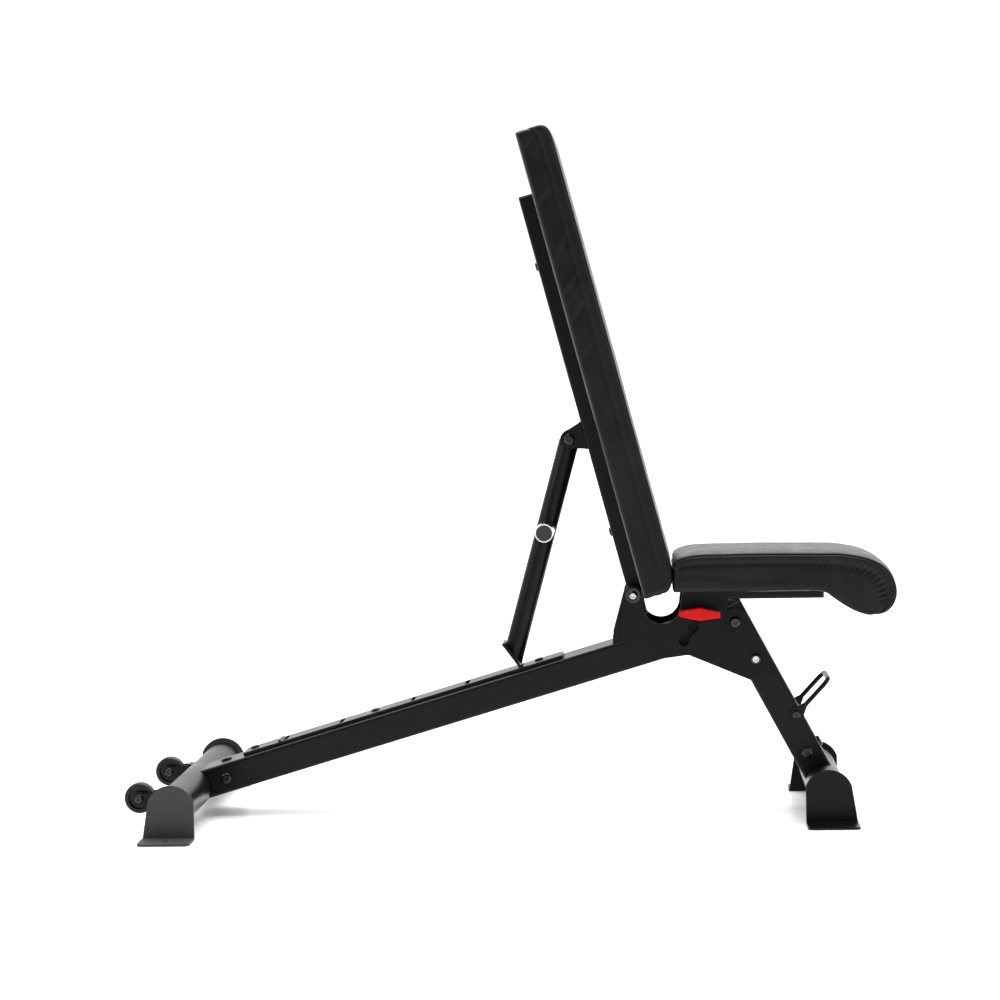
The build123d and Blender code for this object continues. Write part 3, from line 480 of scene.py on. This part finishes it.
def cushion_mesh(name, c, crown, board_end, up_height):
    """The cushion's mesh: a block with rounded edges, swollen sides, a crowned top and an
    underside that is flat on its board. Each point keeps its box coordinates for the sewing."""
    edges = (0.0, 1.8, 4.0, 8.0, 13.0, 19.0)
    ladder = (0.0, 2.0, 4.5, 9.0, 14.0, 18.5, BAND, BAND + 3.0)
    up = [up_height - d for d in ladder][::-1]
    low = [x for x in (0.0, 3.0, 7.0, 14.0, 22.0, 30.0, 40.0) if x < up[0] - 3.0]
    along = spaced(c.length, 5.0, edges)
    across = spaced(c.width, 8.0, edges)
    points, faces = c.grid(along, across, np.array(low + up))
    u, v, nominal = points.T
    height = c.at(c.height, u)
    share = np.minimum(1.0, height / up_height)
    fixed = BAND + 3.0
    drop = up_height - nominal
    deep = fixed * share + (drop - fixed) * (height - fixed * share) / (up_height - fixed)
    d_top = np.where(drop <= fixed, drop * share, deep)
    w = height - d_top
    far_u, far_v = u > c.length / 2, v > c.width / 2
    du = np.where(far_u, c.length - u, u)
    dv = np.where(far_v, c.width - v, v)
    inset = np.minimum(du, dv)
    top_r = np.minimum(TOP_EDGE, 0.4 * height)
    low_r = np.minimum(LOW_EDGE, 0.4 * height)
    inset_1, top_1 = rounded(inset, d_top, top_r)
    inset_2, low_1 = rounded(inset, w, low_r)
    rise = crown * (1.0 - (1.0 - np.clip(inset / CROWN_RUN, 0.0, 1.0)) ** 3)
    side = (inset < ON_FACE) & (d_top > ON_FACE) & (w > ON_FACE)
    band = BAND * share
    swell = np.where(d_top < band, BAND_SWELL * np.sin(np.pi * d_top / band),
                     SIDE_SWELL * np.sin(np.pi * (d_top - band) / (height - band)))
    swell *= np.minimum(1.0, height / FULL_DEPTH)
    inset_new = inset_1 + inset_2 - inset - np.where(side, swell, 0.0)
    w_new = np.where(w < low_r, low_1, height - top_1)
    w_new = np.where(d_top < ON_FACE, height - top_1 + rise, w_new)
    under = w < ON_FACE
    boarded = u < board_end
    tuck = np.clip((inset - RIM) / 3.0, 0.0, 1.0)
    lift = np.where(inset > TOP_EDGE, -1.0, 0.0)
    w_new = np.where(under & boarded, w_new + lift + TUCK * tuck, w_new)
    shift = inset_new - inset
    du_new = du + shift * np.clip(1.0 - (du - inset) / CORNER, 0.0, 1.0)
    dv_new = dv + shift * np.clip(1.0 - (dv - inset) / CORNER, 0.0, 1.0)
    du_new, dv_new = rounded(du_new, dv_new, CORNER)
    u_new = np.where(far_u, c.length - du_new, du_new)
    v_new = np.where(far_v, c.width - dv_new, dv_new)
    mesh = bpy.data.meshes.new(name)
    mesh.from_pydata(c.place(u_new, v_new, w_new).tolist(), [], faces)
    box = mesh.attributes.new("box", "FLOAT_VECTOR", "POINT")
    box.data.foreach_set("vector", np.stack([inset, d_top, u], axis=1).astype(np.float32).ravel())
    return mesh


def closed(mesh):
    """Makes every face of a closed mesh point outward and shades it smooth."""
    work = bmesh.new()
    work.from_mesh(mesh)
    bmesh.ops.recalc_face_normals(work, faces=work.faces)
    for face in work.faces:
        face.smooth = True
    work.to_mesh(mesh)
    work.free()


def coordinates(mesh, normals=False):
    source = mesh.vertex_normals if normals else mesh.vertices
    values = np.empty(len(mesh.vertices) * 3)
    source.foreach_get("vector" if normals else "co", values)
    return values.reshape(-1, 3)


def subdivided(obj):
    """One subdivision, applied."""
    obj.modifiers.new("smooth", "SUBSURF").levels = 1
    done = obj.evaluated_get(bpy.context.evaluated_depsgraph_get())
    mesh = bpy.data.meshes.new_from_object(done)
    obj.modifiers.clear()
    obj.data = mesh
    for face in mesh.polygons:
        face.use_smooth = True


def bell(distance, width):
    return np.exp(-(distance / width) ** 2)


def sew(obj, c, puckers, creases):
    """Seam grooves, the soft valley under the edge roll, puckers, creases and unevenness."""
    mesh = obj.data
    place = coordinates(mesh)
    normal = coordinates(mesh, normals=True)
    box = np.empty(len(mesh.vertices) * 3)
    mesh.attributes["box"].data.foreach_get("vector", box)
    inset, d_top, u = box.reshape(-1, 3).T
    height = c.at(c.height, u)
    share = np.minimum(1.0, height / c.height.max())
    side = inset < 2.5
    under = d_top > height - 1.5
    depth = GROOVE_DEPTH * bell(inset + d_top, GROOVE_WIDTH)
    valley = bell(d_top - BAND * np.minimum(1.0, share * 1.2), VALLEY_WIDTH)
    depth += np.where(side & ~under, VALLEY_DEPTH * valley, 0.0)
    start, end, pitch, strength = puckers
    inside = np.clip((u - start) / 40.0, 0.0, 1.0) * np.clip((end - u) / 25.0, 0.0, 1.0)
    beat = (0.5 + 0.5 * np.cos(2 * np.pi * u / pitch)) ** 2
    depth += np.where(side, strength * inside * beat * bell(d_top - BAND, PUCKER_WIDTH), 0.0)
    for along, down, slope, length, width, deep in creases:
        s = (u - along) * math.cos(slope) + (d_top - down) * math.sin(slope)
        t = (d_top - down) * math.cos(slope) - (u - along) * math.sin(slope)
        fold = deep * bell(s, length) * (bell(t, width) - 0.6 * bell(t - 1.8 * width, width))
        depth += np.where(side, fold, 0.0)
    uneven = UNEVENNESS * waves(place, (0.09, 0.05), 3.0)
    depth += np.where(under, 0.0, uneven * np.minimum(1, d_top / 8 + inset / 25))
    depth *= np.minimum(1.0, height / FULL_DEPTH)
    mesh.vertices.foreach_set("co", (place - normal * (depth * MM)[:, None]).ravel())
    mesh.update()


def make_cushion(name, c, crown, board_end, up_height, body, node, puckers, creases):
    """One upholstered cushion, which stands for a CAD pad and rides on its body."""
    mesh = cushion_mesh(name, c, crown, board_end, up_height)
    closed(mesh)
    obj = bpy.data.objects.new(name, mesh)
    scene.collection.objects.link(obj)
    subdivided(obj)
    sew(obj, c, puckers, creases)
    set_material(obj, VINYL)
    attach(obj, body)
    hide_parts(node)
    return obj


def side_frame(angle):
    """World positions from a side view whose first axis is at an angle above +X from the axle."""
    a = math.radians(angle)

    def to_world(side, y):
        facing = 1.0 if angle < 90 else -1.0
        s, h = side.T
        x = s * math.cos(a) - facing * h * math.sin(a)
        z = s * math.sin(a) + facing * h * math.cos(a)
        return np.stack([AXLE.x + x * MM, y * MM, AXLE.z + z * MM], axis=1)
    return to_world


PAD_WIDTH = 245.0
SEAT_SEAM = [(67, 52), (70, 58), (78, 64), (96, 69.3), (120, 71.4), (160, 71.8), (213, 72.3),
             (309, 71), (349, 70), (389.5, 62.5), (416, 50), (430, 35), (437.5, 16.5), (439, 0),
             (433, -17), (420, -29), (404, -34.5)]
SEAT_UNDER = [(67, 9), (69, 9), (76, 9), (96, 9), (120, 9), (160, 9), (213, 9), (300, 9),
              (322, 5), (333, -2.5), (342, -9), (350, -14.5), (358, -19.5), (366, -24),
              (376, -28.5), (387, -32), (397, -34.2)]
BACK_SEAM = [(-8, 50), (-6, 58), (0, 65), (14, 71), (38, 75), (80, 76.5), (200, 76.5),
             (400, 76.5), (600, 76.5), (740, 76.5), (778, 76), (794, 72.5), (802, 65), (804, 52)]
BACK_UNDER = [(-8, 19), (-6, 19), (0, 19), (12, 19), (38, 19), (80, 19), (200, 19), (400, 19),
              (600, 19), (740, 19), (775, 19), (790, 19), (798, 19), (803, 19)]
BACK_ANGLE = 104.6
# The board under the seat ends where the nose begins; the one under the back is full length.
SEAT_BOARD_END = 240.0
SEAT_CROWN, BACK_CROWN = 5.0, 2.0
SEAT_THICKNESS, BACK_THICKNESS = 61.0, 57.5
seat_shape = Cushion(SEAT_SEAM, SEAT_UNDER, PAD_WIDTH, side_frame(0.0))
back_shape = Cushion(BACK_SEAM, BACK_UNDER, PAD_WIDTH, side_frame(BACK_ANGLE))
SEAT_CREASES = [(60, 36, 0.10, 60, 4.0, 0.5), (150, 44, -0.08, 50, 5.0, 0.4),
                (330, 40, 0.5, 22, 4.0, 0.5)]
BACK_CREASES = [(800, 36, -0.7, 26, 4.0, 1.4), (700, 40, -0.9, 22, 4.5, 0.9),
                (610, 34, -0.6, 30, 5.0, 1.1), (545, 40, -0.9, 26, 4.5, 1.2),
                (505, 34, -0.8, 24, 4.0, 1.0), (430, 42, -0.8, 24, 5.0, 0.8),
                (240, 40, -0.5, 30, 5.0, 0.7)]
seat_cushion = make_cushion("seat_cushion", seat_shape, SEAT_CROWN, SEAT_BOARD_END, SEAT_THICKNESS,
                            "seat", "seat_pad", (215.0, 430.0, 11.0, 2.6), SEAT_CREASES)
make_cushion("backrest_cushion", back_shape, BACK_CROWN, math.inf, BACK_THICKNESS, "backrest",
             "backrest_pad", (0.0, 1.0, 11.0, 0.0), BACK_CREASES)
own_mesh(seat_cushion)
